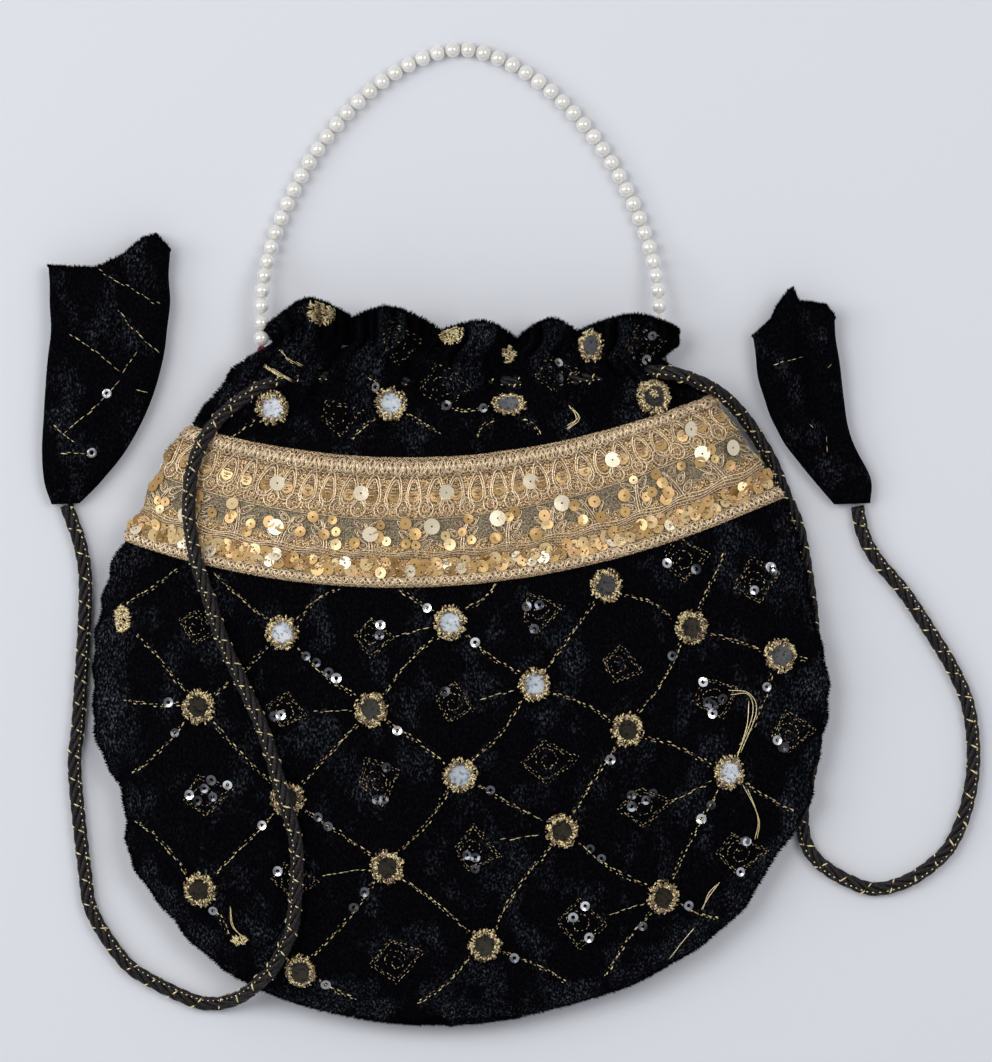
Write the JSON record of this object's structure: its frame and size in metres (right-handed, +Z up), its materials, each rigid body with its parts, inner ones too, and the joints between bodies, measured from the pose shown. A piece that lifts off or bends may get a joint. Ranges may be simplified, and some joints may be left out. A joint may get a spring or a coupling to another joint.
{
  "type": "potli bag",
  "caption": "Soft drawstring pouch bag with a gathered mouth, a beaded loop handle, a wide lace band, small stitched mirrors and cloth tassels on its cords.",
  "frame": {"origin": "centre of the bottom of the bag's box as it lies on its back, its cords and tassels left out", "axes": "+X across the bag to the picture's right, +Y from its bottom to its mouth, +Z up from the table"},
  "size_m": [0.2999, 0.3132, 0.0319],
  "materials": {
    "velvet": "near-black crushed velvet with a soft grey-blue sheen",
    "lining": "dark satin weave",
    "lace": "antique gold metallic thread lace with sequins",
    "pearl": "creamy pearl gloss",
    "cord": "dark woven cord with a spiral gold thread",
    "mirror": "silvered glass",
    "rim": "gold metallic thread, chain and buttonhole stitches"
  },
  "bodies": {
    "pouch": {"velvet_pouch": "velvet", "lining_pouch": "lining", "drawstring_in_channel": "cord", "drawstring_left": "cord", "drawstring_right": "cord", "lace_band": "lace", "pearl_tail_left": "pearl", "pearl_tail_right": "pearl", "tassel_left": "velvet", "tassel_right": "velvet", "mirror_01": "mirror", "mirror_02": "mirror", "mirror_03": "mirror", "mirror_04": "mirror", "mirror_05": "mirror", "mirror_06": "mirror", "mirror_07": "mirror", "mirror_08": "mirror", "mirror_09": "mirror", "mirror_10": "mirror", "mirror_11": "mirror", "mirror_12": "mirror", "mirror_13": "mirror", "mirror_14": "mirror", "mirror_15": "mirror", "mirror_16": "mirror", "mirror_17": "mirror", "mirror_18": "mirror", "mirror_19": "mirror", "mirror_20": "mirror", "mirror_21": "mirror", "mirror_22": "mirror", "mirror_23": "mirror", "mirror_rim_01": "rim", "mirror_rim_02": "rim", "mirror_rim_03": "rim", "mirror_rim_04": "rim", "mirror_rim_05": "rim", "mirror_rim_06": "rim", "mirror_rim_07": "rim", "mirror_rim_08": "rim", "mirror_rim_09": "rim", "mirror_rim_10": "rim", "mirror_rim_11": "rim", "mirror_rim_12": "rim", "mirror_rim_13": "rim", "mirror_rim_14": "rim", "mirror_rim_15": "rim", "mirror_rim_16": "rim", "mirror_rim_17": "rim", "mirror_rim_18": "rim", "mirror_rim_19": "rim", "mirror_rim_20": "rim", "mirror_rim_21": "rim", "mirror_rim_22": "rim", "mirror_rim_23": "rim"},
    "handle": {"pearl_handle": "pearl"}
  },
  "joints": [
    {"name": "handle_swing", "type": "hinge", "parent": "pouch", "child": "handle", "pos_m": [0, 0.07215, 0.009], "axis": [1, 0, 0], "range_deg": [-90, 110]}
  ]
}
